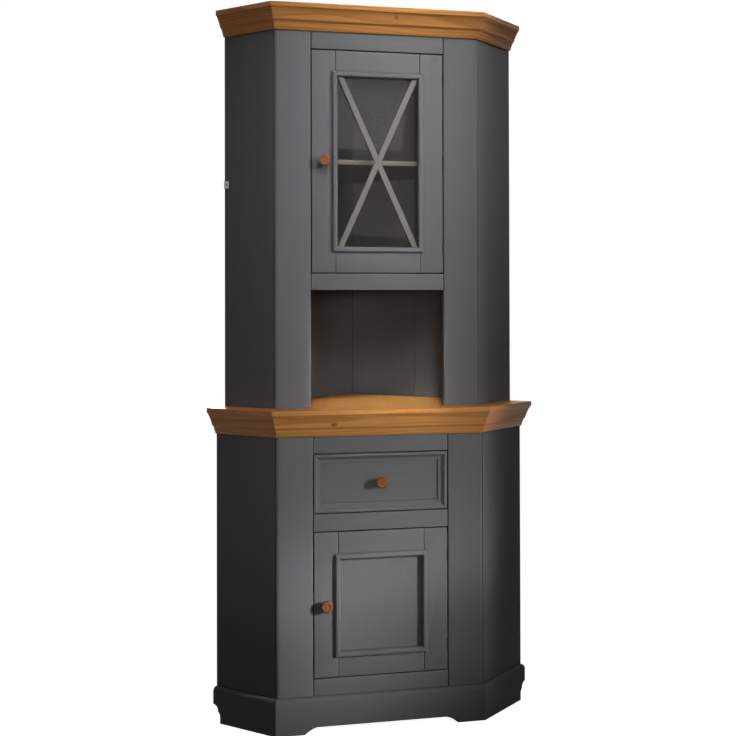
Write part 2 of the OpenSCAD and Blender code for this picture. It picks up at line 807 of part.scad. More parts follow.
module drawer_front() {
    x1 = drawer_lip_w + drawer_cove_w;
    x2 = x1 + drawer_fillet_w;
    field = drawer_field_d;
    steps = 8;
    profile = concat(
        [[0, -field], [0, -arris], [arris, 0]],
        [for (i = [0:steps]) let (t = i / steps)
            [drawer_lip_w + drawer_cove_w * t, -drawer_cove_d * sin(90 * t)]],
        [[x2, -drawer_cove_d], [x2, -field]]
    );
    color(paint) translate([-drawer_front_w / 2, base_y, drawer_opening_z + door_gap])
        difference() {
            union() {
                mitred_frame(drawer_front_w, drawer_front_h, profile);
                translate([0, field, 0]) cube([drawer_front_w, drawer_front_t - field, drawer_front_h]);
            }
            translate([drawer_front_w / 2, 0, drawer_front_h / 2]) rotate([-90, 0, 0])
                cylinder(d = peg_d + 2 * pin_fit, h = field + peg_l + seat_fit);
            translate([
                (drawer_front_w - box_w) / 2 + drawer_side_t - drawer_groove_d,
                drawer_front_t - drawer_groove_d, drawer_bottom_z - drawer_opening_z - door_gap
            ])
                cube([box_w - 2 * (drawer_side_t - drawer_groove_d), drawer_front_t, drawer_bottom_t]);
        }
}

module drawer_sides() {
    color(raw_wood) for (hand = [0, 1]) mirror([hand, 0, 0])
        translate([box_w / 2 - drawer_side_t, box_front_y, drawer_z])
            difference() {
                cube([drawer_side_t, box_l, drawer_side_h]);
                translate([-cut_past, -cut_past, drawer_groove_rise])
                    cube([drawer_groove_d + cut_past, box_l + 2 * cut_past, drawer_bottom_t]);
            }
}

module drawer_back() {
    z0 = drawer_bottom_z + drawer_bottom_t;
    color(raw_wood)
        translate([-box_w / 2 + drawer_side_t, box_rear_y - 2 * drawer_side_t, z0])
            cube([box_w - 2 * drawer_side_t, drawer_side_t, drawer_side_h + drawer_z - z0]);
}

module drawer_bottom() {
    w = box_w - 2 * (drawer_side_t - drawer_groove_d + seat_fit);
    front = box_front_y - drawer_groove_d + seat_fit;
    color(raw_wood) translate([-w / 2, front, drawer_bottom_z])
        cube([w, box_rear_y - drawer_side_t - front, drawer_bottom_t]);
}

module drawer_knob() {
    translate([0, base_y + drawer_field_d, drawer_opening_z + drawer_opening_h / 2]) knob();
}

// The two tiers' pieces.

module base_post() {
    zs = [for (z = base_hinge_zs) base_opening_z + door_gap + z];
    post(base, carcass_z, base_carcass_top, zs);
}

module hutch_post() {
    zs = [for (z = hutch_hinge_zs) hutch_opening_z + door_gap + z];
    post(hutch, worktop_z, hutch_carcass_top, zs);
}

module edge_front(tier, z, over, h) {
    color(pine) translate([-tier[0], tier[1], z]) moulding_run(cornice(over, h), 2 * tier[0], true, true);
}

module edge_side(tier, z, over, h) {
    color(pine) on_side(tier) translate([0, 0, z]) moulding_run(cornice(over, h), tier[2], true, false);
}

base_door_depth = panel_setback + panel_t;
hutch_door_depth = panel_setback + glass_t;
base_rail_top_z = base_door_h - base_door_top_h;
hutch_rail_top_z = hutch_door_h - hutch_door_top_h;

plinth_front();
left_hand() plinth_side();  // plinth_left
plinth_side();  // plinth_right
rear_foot();
left_hand() post(base, carcass_z, base_carcass_top, []);  // base_post_left
base_post();  // base_post_right
left_hand() side_board(base, carcass_z, base_carcass_top, base_shelf_z);  // base_side_left
side_board(base, carcass_z, base_carcass_top, base_shelf_z);  // base_side_right
left_hand() back_board(base, carcass_z, base_carcass_top, true, base_shelf_z);  // base_back_left
back_board(base, carcass_z, base_carcass_top, false, base_shelf_z);  // base_back_right
rail(base, carcass_z, base_opening_z - carcass_z);  // base_bottom_rail
rail(base, mid_rail_z, mid_rail_h);  // base_mid_rail
rail(base, base_top_rail_z, base_carcass_top - base_top_rail_z);  // base_top_rail
color(paint) level_board(base, base_opening_z - floor_t, floor_t, frame_t, side_t, back_t);  // base_floor
shelf(base, base_shelf_z);  // base_shelf
drawer_runners();
color(pine) level_board(base, base_carcass_top, worktop_t, 0, 0, 0);  // worktop_panel
edge_front(base, worktop_edge_z, worktop_over, worktop_edge_h);  // worktop_edge_front
left_hand() edge_side(base, worktop_edge_z, worktop_over, worktop_edge_h);  // worktop_edge_left
edge_side(base, worktop_edge_z, worktop_over, worktop_edge_h);  // worktop_edge_right
left_hand() post(hutch, worktop_z, hutch_carcass_top, []);  // hutch_post_left
hutch_post();  // hutch_post_right
left_hand() side_board(hutch, worktop_z, hutch_carcass_top, hutch_shelf_z);  // hutch_side_left
side_board(hutch, worktop_z, hutch_carcass_top, hutch_shelf_z);  // hutch_side_right
left_hand() back_board(hutch, worktop_z, hutch_carcass_top, true, hutch_shelf_z);  // hutch_back_left
back_board(hutch, worktop_z, hutch_carcass_top, false, hutch_shelf_z);  // hutch_back_right
rail(hutch, hutch_rail_z, hutch_bottom_rail_h);  // hutch_bottom_rail
rail(hutch, hutch_top_rail_z, hutch_carcass_top - hutch_top_rail_z);  // hutch_top_rail
color(paint) level_board(hutch, hutch_opening_z - floor_t, floor_t, frame_t, side_t, back_t);  // hutch_floor
shelf(hutch, hutch_shelf_z);  // hutch_shelf
color(pine) level_board(hutch, hutch_carcass_top, hutch_top_t, 0, 0, 0);  // hutch_top
edge_front(hutch, crown_z, crown_over, crown_h);  // crown_front
left_hand() edge_side(hutch, crown_z, crown_over, crown_h);  // crown_left
edge_side(hutch, crown_z, crown_over, crown_h);  // crown_right
shelf_pins();
hinge_frame_leaves();
door_catches();
fixing_plate();
base_door_place() lock_stile(base_door, base_door_depth);  // base_door_lock_stile
base_door_place() hinge_stile(base_door, base_door_depth, base_hinge_zs);  // base_door_hinge_stile
base_door_place() door_rail(base_door, base_door_depth, base_rail_top_z, base_door_top_h);  // base_door_top_rail
base_door_place() door_rail(base_door, base_door_depth, 0, base_door_bottom_h);  // base_door_bottom_rail
color(paint) base_door_place() infill(base_door, panel_t);  // base_door_panel
base_door_place() door_moulding(base_door);  // base_door_moulding
base_door_place() door_knob(base_door);  // base_door_knob
base_door_place() door_hinge_leaves(base_hinge_zs);  // base_door_hinge_leaves
hutch_door_place() lock_stile(hutch_door, hutch_door_depth);  // hutch_door_lock_stile
hutch_door_place() hinge_stile(hutch_door, hutch_door_depth, hutch_hinge_zs);  // hutch_door_hinge_stile
hutch_door_place() door_rail(hutch_door, hutch_door_depth, hutch_rail_top_z, hutch_door_top_h);  // hutch_door_top_rail
hutch_door_place() door_rail(hutch_door, hutch_door_depth, 0, hutch_door_bottom_h);  // hutch_door_bottom_rail
color(glass) hutch_door_place() infill(hutch_door, glass_t);  // hutch_door_glass
hutch_door_place() glazing_bars(hutch_door);  // hutch_door_glazing_bars
hutch_door_place() door_moulding(hutch_door);  // hutch_door_moulding
hutch_door_place() door_knob(hutch_door);  // hutch_door_knob
hutch_door_place() door_hinge_leaves(hutch_hinge_zs);  // hutch_door_hinge_leaves
drawer_front();
drawer_sides();
drawer_back();
drawer_bottom();
drawer_knob();
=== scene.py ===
# %% [markdown]
# # A corner buffet with its hutch
# The cabinet is a joiner's piece of two tiers: a five-sided base with a drawer over a panelled
# door, and a five-sided hutch with one glazed door. The boards are pine under a grey lacquer, and
# the worktop and the crown are honey-stained pine. The solids come from CAD as a fixed frame. This
# script eases their edges, gives each board its own grain and adds the small hardware.

# %% Load the cabinet
import json
import math

import bmesh
import bpy
from mathutils import Matrix, Vector

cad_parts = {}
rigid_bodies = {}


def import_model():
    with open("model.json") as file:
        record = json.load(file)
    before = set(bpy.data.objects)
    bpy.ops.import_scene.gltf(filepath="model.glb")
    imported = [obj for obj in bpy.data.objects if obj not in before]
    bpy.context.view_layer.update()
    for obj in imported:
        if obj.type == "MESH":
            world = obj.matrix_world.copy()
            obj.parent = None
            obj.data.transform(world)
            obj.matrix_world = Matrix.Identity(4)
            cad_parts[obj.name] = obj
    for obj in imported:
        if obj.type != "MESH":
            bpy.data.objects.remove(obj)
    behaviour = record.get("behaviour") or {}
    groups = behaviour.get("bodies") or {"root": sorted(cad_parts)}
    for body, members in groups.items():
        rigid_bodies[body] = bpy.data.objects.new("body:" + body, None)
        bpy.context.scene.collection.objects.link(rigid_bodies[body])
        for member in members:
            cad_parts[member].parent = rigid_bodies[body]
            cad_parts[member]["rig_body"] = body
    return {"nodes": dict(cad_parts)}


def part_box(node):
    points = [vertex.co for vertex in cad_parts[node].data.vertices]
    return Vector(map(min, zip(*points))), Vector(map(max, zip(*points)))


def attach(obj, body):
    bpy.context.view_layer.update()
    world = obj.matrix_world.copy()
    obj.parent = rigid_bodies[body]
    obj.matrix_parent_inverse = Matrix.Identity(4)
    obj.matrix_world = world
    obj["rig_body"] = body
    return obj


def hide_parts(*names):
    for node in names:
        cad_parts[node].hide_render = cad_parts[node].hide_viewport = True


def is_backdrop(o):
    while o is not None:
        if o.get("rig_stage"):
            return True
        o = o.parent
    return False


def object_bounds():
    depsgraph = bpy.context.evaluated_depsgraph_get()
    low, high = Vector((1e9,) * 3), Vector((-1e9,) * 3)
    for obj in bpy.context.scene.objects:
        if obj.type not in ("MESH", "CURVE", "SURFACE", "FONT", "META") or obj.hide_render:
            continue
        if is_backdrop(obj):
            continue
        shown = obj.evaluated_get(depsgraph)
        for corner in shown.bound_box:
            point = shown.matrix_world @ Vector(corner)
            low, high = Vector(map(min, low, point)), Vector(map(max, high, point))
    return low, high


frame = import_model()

cad_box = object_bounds()

# %% [markdown]
# ## The camera
# The picture was taken from the left of the cabinet's middle, from about 1.1 m up, near the height
# of a seated person's eye, with the lens nearly level. The camera could be tilted to frame the tall
# cabinet, but then its uprights would lean. A lens shift moves the frame instead, as an
# architectural photographer does, so that the uprights stay parallel.

# %% Set up the camera
CAMERA_AT = (-0.5130, -3.4679, 1.1327)
TURN_RIGHT, TILT_UP, ROLL = math.radians(12.91), math.radians(0.60), math.radians(-0.17)
LOOK_AHEAD = math.radians(90)  # up from straight down, where a new camera looks
SENSOR_MM, LENS_MM = 36, 58.03
SHIFT_X, SHIFT_Y = -0.1241, -0.0976


def add_object(name, data):
    """A new object with its data, linked to the scene."""
    made = bpy.data.objects.new(name, data)
    bpy.context.scene.collection.objects.link(made)
    return made


camera = add_object("camera", bpy.data.cameras.new("camera"))
camera.data.sensor_width, camera.data.lens = SENSOR_MM, LENS_MM
camera.data.shift_x, camera.data.shift_y = SHIFT_X, SHIFT_Y
camera.matrix_world = (
    Matrix.Translation(CAMERA_AT)
    @ Matrix.Rotation(-TURN_RIGHT, 4, "Z")
    @ Matrix.Rotation(LOOK_AHEAD + TILT_UP, 4, "X")
    @ Matrix.Rotation(ROLL, 4, "Z")
)
bpy.context.scene.camera = camera
bpy.context.scene.view_settings.view_transform = "Standard"
print("camera looks along", [round(v, 3) for v in -camera.matrix_world.col[2].xyz])

# %% [markdown]
# ## Node shorthand
# Every finish below is a small tree of nodes. Such a tree could be joined by hand in the editor,
# but written out it can be read, repeated and changed. Short helpers keep it readable: the first
# adds a node and joins or sets its inputs, and the next does arithmetic on sockets. The world gets
# the first tree.

# %% Add nodes to an empty tree
def step(tree, kind, wires=None, out=0, **settings):
    """Adds a node and gives one of its outputs. A wire is a socket to join or a plain value."""
    node = tree.nodes.new(kind)
    for name, value in settings.items():
        setattr(node, name, value)
    for name, value in (wires or {}).items():
        if isinstance(value, bpy.types.NodeSocket):
            tree.links.new(value, node.inputs[name])
        else:
            node.inputs[name].default_value = value
    return node.outputs[out]


def calc(tree, operation, *values):
    """One Math node."""
    return step(tree, "ShaderNodeMath", dict(enumerate(values)), operation=operation)


def empty_tree(owner):
    """Turns on the nodes of a material or a world and clears them."""
    owner.use_nodes = True
    owner.node_tree.nodes.clear()
    return owner.node_tree


world = bpy.data.worlds.new("studio")
bpy.context.scene.world = world
sky = empty_tree(world)
print("nodes in the world's tree:", len(sky.nodes))

# %% [markdown]
# ## Floor and background
# The floor and the background are plain white to the camera and to every reflection, but the light
# that falls on the cabinet stays at a plain level. More lamps could make them white too, and would
# wash out the cabinet. The Light Path node tells the two apart, so no extra light is needed. The
# floor still takes the cabinet's shadow, which fades out a stride away from it.

# %% Background
AMBIENT = 0.01


def even(level):
    """A grey in the linear light that shaders use."""
    return level, level, level, 1


WHITE = even(1)


def seen_directly(tree):
    """1 for rays that see a surface directly, in a mirror or through glass, and 0 for others."""
    path = tree.nodes.new("ShaderNodeLightPath")
    seen = calc(tree, "MAXIMUM", path.outputs["Is Camera Ray"], path.outputs["Is Glossy Ray"])
    return calc(tree, "MAXIMUM", seen, path.outputs["Is Transmission Ray"])


def cover(tree, shader, output="ShaderNodeOutputMaterial"):
    """Makes a shader the surface."""
    tree.links.new(shader, tree.nodes.new(output).inputs["Surface"])


strength = calc(sky, "MULTIPLY_ADD", seen_directly(sky), 1 - AMBIENT, AMBIENT)
background = step(sky, "ShaderNodeBackground", {"Color": WHITE, "Strength": strength})
cover(sky, background, "ShaderNodeOutputWorld")
print("light from the background:", AMBIENT)

# %% The floor's finish
FLOOR_TONE, FLOOR_BOUNCE = 0.9, 0.34
SHADOW_FULL_TO, SHADOW_GONE_AT = 0.5, 1.8  # metres from the cabinet's middle
GLOW_NEAR, GLOW_FAR = 0.96, 1.0


def vector_calc(tree, operation, *values, out="Vector"):
    """One Vector Math node."""
    return step(tree, "ShaderNodeVectorMath", dict(enumerate(values)), out, operation=operation)


def object_place(tree):
    """A point's place in its object's own metres."""
    return step(tree, "ShaderNodeTexCoord", out="Object")


def floor_finish():
    """White where it is seen, darker in the light that bounces off it, and glowing far away."""
    finish = bpy.data.materials.new("studio_floor")
    tree = empty_tree(finish)
    bounce = step(tree, "ShaderNodeBsdfDiffuse", {"Color": even(FLOOR_BOUNCE)})
    lit = step(tree, "ShaderNodeBsdfDiffuse", {"Color": even(FLOOR_TONE)})
    from_cabinet = vector_calc(tree, "LENGTH", object_place(tree), out="Value")
    reach = {"Value": from_cabinet, "From Min": SHADOW_FULL_TO, "From Max": SHADOW_GONE_AT,
             "To Min": GLOW_NEAR, "To Max": GLOW_FAR}
    fade = step(tree, "ShaderNodeMapRange", reach, interpolation_type="SMOOTHSTEP")
    glow = step(tree, "ShaderNodeEmission", {"Color": WHITE, "Strength": fade})
    lifted = step(tree, "ShaderNodeAddShader", {0: lit, 1: glow})
    wires = {0: seen_directly(tree), 1: bounce, 2: lifted}
    cover(tree, step(tree, "ShaderNodeMixShader", wires))
    return finish


print("the shadow fades from", SHADOW_FULL_TO, "to", SHADOW_GONE_AT, "m")

# %% The floor
FLOOR_HALF = 30.0
sheet = bpy.data.meshes.new("studio_floor")
corners = [(x * FLOOR_HALF, y * FLOOR_HALF, 0) for x, y in ((-1, -1), (1, -1), (1, 1), (-1, 1))]
sheet.from_pydata(corners, [], [(0, 1, 2, 3)])
sheet.materials.append(floor_finish())
floor = add_object("studio_floor", sheet)
floor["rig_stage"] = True
print("floor:", 2 * FLOOR_HALF, "m wide")

# %% [markdown]
# ## Lamps
# Each knob in the picture throws two shadows. A crisp one falls to its left, from small lamps far
# away on the right: one box for the hutch and one for the base. A soft one falls straight down,
# from a box high in front. One large box would be simpler, but it throws neither of them. Most of
# the boxes have a grid, a narrow spread that sends the light straight ahead and fades it at its
# edge, so the right side and the plinth fall into shade. Weak fills from the front, the left and
# above open up the shadows, and four small boxes near the camera light the worktop and reach into
# the niche and behind the pane. One more stands behind the cabinet, for the backs, which the
# picture does not show.

# %% Lamps
LAMPS = (
    # name, degrees right of the front, degrees up, metres away, width, height, watts, aim, spread
    ("key_high", 48, 10, 6.0, 0.54, 1.70, 1.56, (-0.110, -0.25, 1.18), 2.5),
    ("key_low", 50, 18, 6.0, 0.33, 0.46, 0.51, (-0.092, -0.27, 0.262), 4.7),
    ("front_top", 7, 45, 3.4, 0.26, 0.42, 0.98, (0.075, -0.25, 1.82), 16.3),
    ("front_fill", 0, 32, 2.5, 1.0, 1.0, 6.6, (0.0, -0.25, 1.0), 180),
    ("centre_fill", -5, 25, 3.2, 0.4, 1.0, 0.42, (0.08, -0.25, 1.00), 18),
    ("left_fill", -75, 12, 3.2, 0.5, 1.6, 0.16, (-0.30, -0.18, 1.15), 10),
    ("over_top", 0, 80, 3.0, 1.8, 1.8, 4.0, (0.0, -0.1, 0.9), 180),
    ("worktop_glow", -9, 35, 3.0, 0.34, 0.26, 0.32, (0.0, -0.23, 0.965), 2.0),
    ("niche_glow", -12, 0, 3.0, 0.33, 0.30, 0.040, (0.0, -0.23, 1.03), 1.6),
    ("niche_glow_right", 12, 1, 3.0, 0.33, 0.30, 0.025, (0.0, -0.23, 1.03), 1.6),
    ("pane_glow", -9, -7, 3.0, 0.21, 0.50, 0.065, (0.01, -0.22, 1.52), 1.6),
    ("behind", 180, 12, 3.0, 1.0, 1.8, 4.5, (0.0, 0.10, 0.95), 30),
)


def lamp(name, azimuth, lift, distance, width, tall, watts, aim, spread):
    """A soft box that aims at a point from an azimuth right of the front and lift degrees up."""
    box = bpy.data.lights.new(name, "AREA")
    box.shape, box.size, box.size_y = "RECTANGLE", width, tall
    box.energy, box.spread = watts, math.radians(spread)
    stand = add_object(name, box)
    turn, up = math.radians(azimuth), math.radians(lift)
    away = Vector((math.sin(turn) * math.cos(up), -math.cos(turn) * math.cos(up), math.sin(up)))
    stand.location = Vector(aim) + away * distance
    stand.rotation_euler = away.to_track_quat("Z", "Y").to_euler()


for settings in LAMPS:
    lamp(*settings)
print("lamps:", [settings[0] for settings in LAMPS])

# %% [markdown]
# ## Grain
# The grain of a board runs along it, so a wood finish has to know which way that is. A UV map could
# say so, but it would have to be laid out for each board. Here each corner of each face stores its
# place in the board's own directions, in metres, and the finishes read that attribute. A shift of
# its own for each board keeps the grain from running on across a joint.

# %% Store the grain
GRAIN = {
    "up": Vector((0, 0, 1)),
    "across": Vector((1, 0, 0)),
    "inwards": Vector((0, 1, 0)),
    "left": Vector((-1, 1, 0)).normalized(),
    "right": Vector((1, 1, 0)).normalized(),
}
# metres from one board to the next; across and through, the shift starts again past its range
SHIFT_ALONG = 0.377
SHIFT_ACROSS, RANGE_ACROSS = 0.0431, 0.09
SHIFT_THROUGH, RANGE_THROUGH = 0.0173, 0.06
HEART_BEHIND = 0.05


def board_frame(direction):
    """Three directions of a board: along its grain, across it and through it."""
    along = GRAIN[direction]
    helper = GRAIN["inwards"] if direction != "inwards" else GRAIN["up"]
    across = helper.cross(along).normalized()
    return along, across, along.cross(across)


def own_shift(number):
    """How far a board's figure is moved along, across and through it."""
    across = number * SHIFT_ACROSS % RANGE_ACROSS - RANGE_ACROSS / 2
    through = HEART_BEHIND + number * SHIFT_THROUGH % RANGE_THROUGH
    return Vector((number * SHIFT_ALONG, across, through))


def store_grain(bm, direction_of, number):
    """Writes each face corner's place in its board's directions to the grain attribute."""
    grain = bm.loops.layers.float_vector.new("grain")
    shift = own_shift(number)
    places = [v.co for v in bm.verts]
    middle = (Vector(map(min, zip(*places))) + Vector(map(max, zip(*places)))) / 2
    for face in bm.faces:
        axes = board_frame(direction_of(face))
        for loop in face.loops:
            loop[grain] = Vector([axis.dot(loop.vert.co - middle) for axis in axes]) + shift


print("the second board's grain is moved by", [round(v, 3) for v in own_shift(2)], "m")

# %% [markdown]
# ## Boards
# A joiner takes the sharp arris off every board before it is lacquered. A Bevel node in the finish
# would only shade the edges as if they were round, while a bevel in the mesh cuts real faces that
# catch the light. So each CAD board is copied, its triangles are joined back into flat faces, and
# its outer edges are eased by a little less than a millimetre. The eased faces are marked in an
# attribute, so that the lacquer can be lightened on them, partly as wear and partly as a painted
# highlight.

# %% From a CAD board to a finished piece
MERGED_WITHIN, FLAT_WITHIN = 1e-5, math.radians(0.5)
boards_made = {}


def whole_solid(node):
    """The CAD board with its loose triangles joined into flat faces."""
    bm = bmesh.new()
    bm.from_mesh(frame["nodes"][node].data)
    bmesh.ops.remove_doubles(bm, verts=bm.verts, dist=MERGED_WITHIN)
    bmesh.ops.dissolve_limit(bm, angle_limit=FLAT_WITHIN, verts=bm.verts, edges=bm.edges)
    bmesh.ops.recalc_face_normals(bm, faces=bm.faces)
    return bm


def finished(node, bm, finish):
    """Turns a finished bmesh into a piece that stands for the CAD board and moves with its body."""
    mesh = bpy.data.meshes.new(node + "_board")
    bm.to_mesh(mesh)
    bm.free()
    mesh.materials.append(finish)
    piece = add_object(node + "_board", mesh)
    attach(piece, frame["nodes"][node]["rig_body"])
    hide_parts(node)
    boards_made[node] = piece


trial = whole_solid("crown_front")
print("the front crown's", len(frame["nodes"]["crown_front"].data.polygons), "triangles make",
      len(trial.faces), "flat faces")
trial.free()

# %% [markdown]
# ## The drawer's deeper field
# The field in the middle of the drawer's front is sunk below its lip, inside a steep cove full of
# shade. A bump in the finish could darken the cove, but it would throw no shadow. So the field and
# the foot of its cove are moved in by a few millimetres more, while the lip stays, and the foot of
# the knob is lengthened by as much to stand on the field again.

# %% Sink the field
LIP_WIDTH, COVE_DEPTH, FIELD_DEPTH, SUNK = 0.0065, 0.005, 0.0095, 0.0035
TOUCHING = 0.0001


def sink_field(bm):
    """Sinks the drawer's field, and its cove with it, while the lip stays."""
    low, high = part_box("drawer_front")
    for v in bm.verts:
        from_edge = min(v.co.x - low.x, high.x - v.co.x, v.co.z - low.z, high.z - v.co.z)
        depth = v.co.y - low.y
        if from_edge > LIP_WIDTH - TOUCHING and depth < FIELD_DEPTH + TOUCHING:
            v.co.y += min(depth / COVE_DEPTH, 1) * SUNK


def lengthen_foot(bm):
    """Brings the foot of the drawer's knob down to the sunk field."""
    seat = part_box("drawer_front")[0].y + FIELD_DEPTH
    for v in bm.verts:
        if abs(v.co.y - seat) < TOUCHING:
            v.co.y += SUNK


RESHAPED = {"drawer_front": sink_field, "drawer_knob": lengthen_foot}
print("the field lies", round(1000 * (FIELD_DEPTH + SUNK), 1), "mm behind the lip")

# %% Ease a board
EASE, MOULDING_EASE, NO_EASE = 0.0009, 0.0005, 0
SHARP_FROM, SMOOTH_BELOW = math.radians(28), math.radians(20)
SHORTEST_EASED = 3  # times the ease


def is_arris(edge, ease):
    """Whether an edge is sharp, points outwards and is long enough to be eased."""
    return (edge.is_manifold and edge.is_convex and edge.calc_face_angle() > SHARP_FROM
            and edge.calc_length() > SHORTEST_EASED * ease)


def eased_board(node, direction, finish, ease=EASE):
    """Makes one board; direction is a name in GRAIN or a rule that gives one for a face."""
    bm = whole_solid(node)
    if node in RESHAPED:
        RESHAPED[node](bm)
    arris = bm.faces.layers.float.new("arris")
    if ease:
        edges = [edge for edge in bm.edges if is_arris(edge, ease)]
        cut = bmesh.ops.bevel(
            bm, geom=edges, offset=ease, segments=2, profile=0.5, affect="EDGES", clamp_overlap=True
        )
        for face in cut["faces"]:
            face[arris] = 1.0
    for face in bm.faces:
        face.smooth = True
    for edge in bm.edges:
        edge.smooth = edge.is_manifold and edge.calc_face_angle() < SMOOTH_BELOW
    rule = direction if callable(direction) else lambda face: direction
    store_grain(bm, rule, len(boards_made) + 1)
    finished(node, bm, finish)


print("boards are eased by", 1000 * EASE, "mm and mouldings by", 1000 * MOULDING_EASE, "mm")

# %% [markdown]
# ## Wood
# Pine shows three things at once: growth rings, which a flat-sawn board cuts into long arches, fine
# fibres along the board, and a few knots. A Wave Texture would draw stripes that are too even. Here
# the rings are a distance from the tree's middle, which lies some way behind the board, bent by a
# slow noise. The fibres are a noise that is stretched along the grain.

# %% The figure of the wood
# how often each noise repeats in a metre along, across and through the board
BENDS, FIBRES, PATCHES = (1.3, 7.0, 7.0), (9.0, 420.0, 420.0), (1.1, 9.0, 9.0)
RING_WAVER = 0.030
ACROSS_GRAIN = (0, 1, 1)


def noise(tree, place, scale, detail, out="Fac"):
    """A Noise Texture, as a number or as a colour."""
    wires = {"Vector": place, "Scale": scale, "Detail": detail}
    return step(tree, "ShaderNodeTexNoise", wires, out)


def stretched_noise(tree, place, stretch, detail, out="Fac"):
    """A noise with a scale of its own in each direction."""
    return noise(tree, vector_calc(tree, "MULTIPLY", place, stretch), 1.0, detail, out)


def wood_figure(tree, ring_width):
    """Sockets for growth rings, fibres and broad patches, each from 0 to 1."""
    place = step(tree, "ShaderNodeAttribute", attribute_name="grain", out="Vector")
    bend = stretched_noise(tree, place, BENDS, 2.0, out="Color")
    bend = vector_calc(tree, "SUBTRACT", bend, (0.5, 0.5, 0.5))
    bent = vector_calc(tree, "MULTIPLY_ADD", bend, (0, RING_WAVER, RING_WAVER), place)
    from_heart = vector_calc(tree, "MULTIPLY", bent, ACROSS_GRAIN)
    radius = vector_calc(tree, "LENGTH", from_heart, out="Value")
    rings = calc(tree, "FRACT", calc(tree, "DIVIDE", radius, ring_width))
    fibres = stretched_noise(tree, bent, FIBRES, 3.0)
    patches = stretched_noise(tree, place, PATCHES, 3.0)
    return rings, fibres, patches


print("fibres: about", round(1000 / FIBRES[0]), "by", round(1000 / FIBRES[1], 1), "mm")

# %% Colour and relief
def linear(value):
    """One channel of a paint chart, 0 to 255, in the linear light that shaders use."""
    return ((value / 255 + 0.055) / 1.055) ** 2.4


def tone(red, green, blue):
    """A colour as a paint chart gives it."""
    return linear(red), linear(green), linear(blue), 1


def ramp(tree, value, *stops):
    """A Color Ramp from (position, colour) stops."""
    node = tree.nodes.new("ShaderNodeValToRGB")
    while len(node.color_ramp.elements) < len(stops):
        node.color_ramp.elements.new(0.5)
    for element, (position, colour) in zip(node.color_ramp.elements, stops):
        element.position, element.color = position, colour
    tree.links.new(value, node.inputs[0])
    return node.outputs[0]


def blend_colours(tree, share, first, second, how="MIX"):
    """One Mix node on colours, at its sockets 6 and 7; share 0 gives the first and 1 the second."""
    wires = {0: share, 6: first, 7: second}
    return step(tree, "ShaderNodeMix", wires, 2, data_type="RGBA", blend_type=how)


def tint(tree, colour, by):
    """Multiplies one colour by another."""
    return blend_colours(tree, 1.0, colour, by, "MULTIPLY")


def finish_surface(tree, colour, roughness, relief, depth, **plain):
    """Joins colour, roughness and relief to one Principled shader; plain holds its plain values."""
    bump = step(tree, "ShaderNodeBump", {"Height": relief, "Distance": depth, "Strength": 1.0})
    wires = {"Base Color": colour, "Roughness": roughness, "Normal": bump} | plain
    cover(tree, step(tree, "ShaderNodeBsdfPrincipled", wires))


print("a chart's middle grey, 128, is", round(linear(128), 3), "in linear light")

# %% [markdown]
# ## Grey lacquer
# The lacquer is thin and satin. One flat colour would look like plastic: the pine under it still
# shows as faint streaks and a slight relief along the grain. The eased edges are lightened, partly
# as lacquer worn thin by hands and cloths and partly as a painted highlight where a round arris
# would catch the light. The narrow joints and inside corners get painted shade: the Ambient
# Occlusion node finds them by how little open air there is within 5 mm, and their colour is
# darkened there.

# %% Lacquer finishes
LACQUERED_RING = 0.0052
FIBRE_SHARE, PATCH_SHARE = 0.55, 0.45
LATE_WOOD = ((0.0, WHITE), (0.55, WHITE), (0.90, even(0.985)))
JOINT_WIDTH, JOINT_RAYS = 0.005, 8
# painted shade: how far the colour is darkened for each amount of open air in a joint
PAINTED_JOINT_SHADE = ((0.10, even(0.10)), (0.50, even(0.50)), (0.82, WHITE))
# the eased edges' lighter tone: part worn lacquer, part painted highlight
WORN_HIGHLIT_SCALE, WORN_HIGHLIT_DETAIL, WORN_HIGHLIT_SPREAD, WORN_HIGHLIT_LEAST = 38.0, 4.0, 0.8, 0.5
SATIN_SPREAD, SATIN, SATIN_LEVEL = 0.16, 0.42, 0.02
RINGS_UNDER_LACQUER, LACQUER_RELIEF = 0.15, 0.00007


